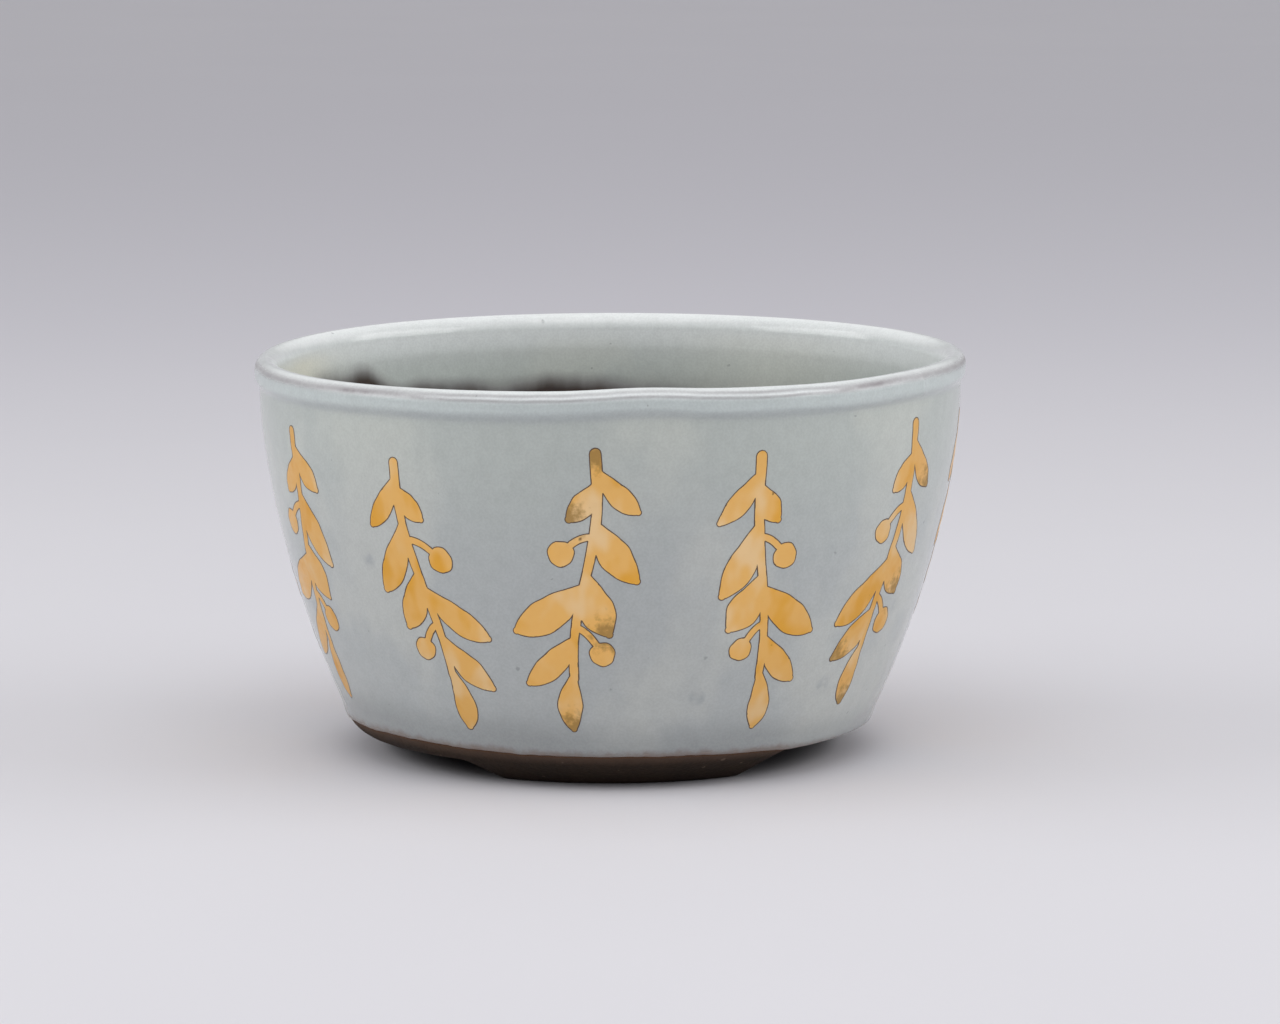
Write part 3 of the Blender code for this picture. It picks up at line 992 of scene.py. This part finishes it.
# One sprig as a thin closed skin that follows the wall, with a dark line round it
def gildSprig(index, material):
    style = sprigStyle
    chance = random.Random(style["seed"] + index)
    bearing = style["first"] + 360.0 * index / style["count"]
    shapes, tips = drawSprig(index, chance)
    worn = [tip for tip in tips if chance.random() < style["wornShare"]]
    points, rings = [], []
    for outline in shapes + [grown(outline, style["outline"]) for outline in shapes]:
        rings.append(list(range(len(points), len(points) + len(outline))))
        points += outline
    points += fillGrid(points, style["grid"])
    flat, _, faces, _, _, owners = delaunay_2d_cdt(points, [], rings, 1, 1e-5)
    kept = [(face, min(owner) < len(shapes)) for face, owner in zip(faces, owners) if owner]
    golden = {corner for face, isGold in kept if isGold for corner in face}
    used = sorted({corner for face, _ in kept for corner in face})
    number = {corner: i for i, corner in enumerate(used)}
    places, normals = [], []
    for out in (style["proud"], -style["sunk"]):
        for corner in used:
            x, y = flat[corner]
            turned = bearing + degrees(x / wallRadius(y))
            places.append(wallPoint(turned, y, out))
            normals.append(wallNormal(turned, y))
    count = len(used)
    rims, built = set(), []
    for face, _ in kept:
        a, b, c = (number[corner] for corner in face)
        flatA, flatB, flatC = (flat[corner] for corner in face)
        if (flatB - flatA).cross(flatC - flatA) < 0:
            b, c = c, b
        built += [(a, b, c), (c + count, b + count, a + count)]
        for edge in ((a, b), (b, c), (c, a)):
            if edge[::-1] in rims:
                rims.remove(edge[::-1])
            else:
                rims.add(edge)
    built += [(b, a, a + count, b + count) for a, b in sorted(rims)]
    name = f"giltSprig{index + 1}"
    mesh = bpy.data.meshes.new(name)
    mesh.from_pydata(places, [], built)
    mesh.materials.append(material)
    values = {"inGold": [], "tipWear": []}
    for corner in used * 2:
        near = min([(flat[corner] - tip).length for tip in worn] or [style["wornReach"]])
        values["inGold"].append(1.0 if corner in golden else 0.0)
        values["tipWear"].append(max(1 - near / style["wornReach"], 0.0))
    storeMeasures(mesh, values)
    mesh.shade_smooth()
    mesh.normals_split_custom_set_from_vertices(normals)
    return addObject(name, mesh)


gilding = {
    "gold": (0.935, 0.55, 0.172, 1.0),
    "pale": (0.95, 0.67, 0.345, 1.0),
    "rich": (0.885, 0.455, 0.072, 1.0),
    "worn": (0.42, 0.25, 0.07, 1.0),
    "outline": (0.1, 0.058, 0.038, 1.0),
    "pin": (0.16, 0.09, 0.035, 1.0),
    "broad": {"Scale": 150.0, "Stretch": 1.8, "Fineness": 2.0},
    "small": {"Scale": 900.0, "Fineness": 3.0, "Shift": 0.2},
    "pinholes": {"Spacing": 420.0, "Size": 0.16, "Share": 0.09},
    "grain": {"Scale": 2600.0, "Coarse": 600.0, "Mix": 0.5},
    "paleSpan": (0.45, 1.0),
    "richSpan": (0.35, 0.0),
    "wornSpan": (0.45, 1.1, 0.0, 0.85),
    "goldSpan": (0.75, 1.0),
    "patchyWear": 0.5,            # how far small patches make the rubbing uneven
    "patchyEdge": 0.25,           # and the gold's edge
    "pinStrength": 0.8,
    "wornMetal": 0.6,
    "wornRough": 0.15,
    "roughness": (0.30, 0.42),
    "relief": (0.18, 0.0001),
}


def makeGilding():
    look = gilding
    material, tree, shader = newMaterial("giltLustre")
    inGold, tipWear = readAttributes(tree, "inGold", "tipWear")
    broad, small = layPatches(tree, look, "broad", "small")
    colour = tint(tree, look, "pale", look["gold"], broad)
    colour = tint(tree, look, "rich", colour, broad)
    rubbing = plus(tree, tipWear, times(tree, small, look["patchyWear"]))
    rubbed = fade(tree, rubbing, *look["wornSpan"])
    colour = mixColour(tree, rubbed, colour, look["worn"])
    pins = useGroup(tree, specks, **look["pinholes"])
    colour = mixColour(tree, times(tree, pins, look["pinStrength"]), colour, look["pin"])
    within = plus(tree, inGold, times(tree, small, look["patchyEdge"]))
    within = fade(tree, within, *look["goldSpan"])
    colour = mixColour(tree, within, look["outline"], colour)
    metal = times(tree, within, fade(tree, rubbed, 0.0, 1.0, 1.0, look["wornMetal"]))
    tree.links.new(metal, shader.inputs["Metallic"])
    rough = fade(tree, small, 0.0, 1.0, *look["roughness"])
    rough = plus(tree, rough, times(tree, rubbed, look["wornRough"]))
    grain = useGroup(tree, fineGrain, **look["grain"])
    finishSurface(tree, shader, colour, rough, grain, look["relief"])
    return material


giltLustre = makeGilding()
for index in range(sprigStyle["count"]):
    sprig = gildSprig(index, giltLustre)
    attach(sprig, "root")
print("gilded sprigs laid on the wall:", sprigStyle["count"])


# Pale studio floor that curves up far off, in metres from here on

studioFloor = {
    "near": (0.766, 0.757, 0.79, 1.0),
    "shade": (0.752, 0.743, 0.777, 1.0),
    # painted shade where the softboxes' light falls away across the floor
    "falloffShade": (0.72, 0.71, 0.756, 1.0),
    # painted shadow colour under the bowl
    "bowlShadow": (0.22, 0.215, 0.23, 1.0),
    "patches": {"Scale": 5.0},
    "bowlShadowSpan": (0.030, 0.040, 1.0, 0.0),    # painted shadow right under the bowl
    "falloffShadeSpan": (0.25, 0.75),
    "farSpan": (0.9, 2.6, 1.0, 0.2),
    "roughness": 0.85,
    "gloss": 0.2,
    "flatRadius": 4.0,
    "bendRadius": 0.8,
    "bendSteps": 16,
    "sides": 96,
}


def makeFloor():
    look = studioFloor
    flat, bend, sides = look["flatRadius"], look["bendRadius"], look["sides"]
    profile = [(flat + bend * sin(angle), bend * (1 - cos(angle)))
               for angle in steps(0.0, pi / 2, look["bendSteps"])]
    turns = [tau * i / sides for i in range(sides)]
    made = bmesh.new()
    rings = []
    for radius, height in profile:
        rings.append([made.verts.new((radius * cos(a), radius * sin(a), height)) for a in turns])
    made.faces.new(rings[0])
    for inner, outer in zip(rings, rings[1:]):
        for i in range(sides):
            made.faces.new((inner[i - 1], outer[i - 1], outer[i], inner[i]))
    mesh = bpy.data.meshes.new("studioFloor")
    made.to_mesh(mesh)
    made.free()
    mesh.shade_smooth()
    material, tree, shader = newMaterial("floorPaper")
    colour = mixColour(tree, useGroup(tree, softPatches, **look["patches"]), look["shade"], look["near"])
    place = addNode(tree, "TexCoord").outputs["Object"]
    away = addNode(tree, "VectorMath", {0: place}, operation="LENGTH").outputs["Value"]
    # painted shadow on the floor right under the bowl
    colour = tint(tree, look, "bowlShadow", colour, away)
    # painted shade: the floor darkens from 0.25 m out as the light falls away, easing back past 0.9 m
    away = times(tree, fade(tree, away, *look["falloffShadeSpan"]), fade(tree, away, *look["farSpan"]))
    colour = mixColour(tree, away, colour, look["falloffShade"])
    tree.links.new(colour, shader.inputs["Base Color"])
    shader.inputs["Roughness"].default_value = look["roughness"]
    shader.inputs["Specular IOR Level"].default_value = look["gloss"]
    mesh.materials.append(material)
    return addObject("studioFloor", mesh)


makeFloor()


# Soft studio light and the camera

lighting = {
    "skyColour": (0.98, 0.975, 1.0, 1.0),
    "sky": (0.160, 0.690, 0.500),     # strength low down, half-way up and overhead
    "lowSpan": (0.18, 0.45),          # where it changes from one to the next
    "highSpan": (0.55, 0.90),
    "target": (0.0, 0.0, 0.04),
    # each softbox: place, width, height, power in watts
    "softboxes": {
        "overhead": ((0.0, -0.06, 0.72), 0.60, 0.60, 0.64),
        "highFront": ((0.0, -0.50, 0.85), 0.80, 0.50, 1.15),
        "leftPanel": ((-0.95, -0.10, 0.50), 0.90, 0.50, 3.15),
        "rightPanel": ((0.95, -0.10, 0.50), 0.90, 0.50, 3.25),
    },
}

viewpoint = {
    "place": (0.0, -0.8904, 0.1666),
    "tilt": 81.887,
    "turn": -0.3228,
    "lens": 149.06,
    "sensor": 36.0,
    "reach": (0.01, 20.0),        # nearest and farthest that the camera sees
}


def lightStudio():
    world = bpy.data.worlds.new("studio")
    scene.world = world
    world.use_nodes = True
    tree = world.node_tree
    low, middle, high = lighting["sky"]
    facing = addNode(tree, "TexCoord").outputs["Generated"]
    rise = addNode(tree, "SeparateXYZ", {0: facing}).outputs[2]
    strength = times(tree, fade(tree, rise, *lighting["lowSpan"], low, middle),
                     fade(tree, rise, *lighting["highSpan"], 1.0, high / middle))
    sky = tree.nodes["Background"]
    sky.inputs["Color"].default_value = lighting["skyColour"]
    tree.links.new(strength, sky.inputs["Strength"])
    for name, (place, width, height, power) in lighting["softboxes"].items():
        lamp = bpy.data.lights.new(name, "AREA")
        lamp.shape = "RECTANGLE"
        lamp.size, lamp.size_y = width, height
        lamp.energy = power
        softbox = addObject(name, lamp)
        softbox.location = place
        aim = Vector(lighting["target"]) - Vector(place)
        softbox.rotation_euler = aim.to_track_quat("-Z", "Y").to_euler()
        softbox.visible_camera = False


def placeCamera():
    lens = bpy.data.cameras.new("camera")
    lens.lens = viewpoint["lens"]
    lens.sensor_width = viewpoint["sensor"]
    lens.clip_start, lens.clip_end = viewpoint["reach"]
    camera = addObject("camera", lens)
    camera.location = viewpoint["place"]
    camera.rotation_euler = (radians(viewpoint["tilt"]), 0.0, radians(viewpoint["turn"]))
    scene.camera = camera


lightStudio()
placeCamera()
scene.view_settings.view_transform = "Standard"
print("floor, light and camera in place")
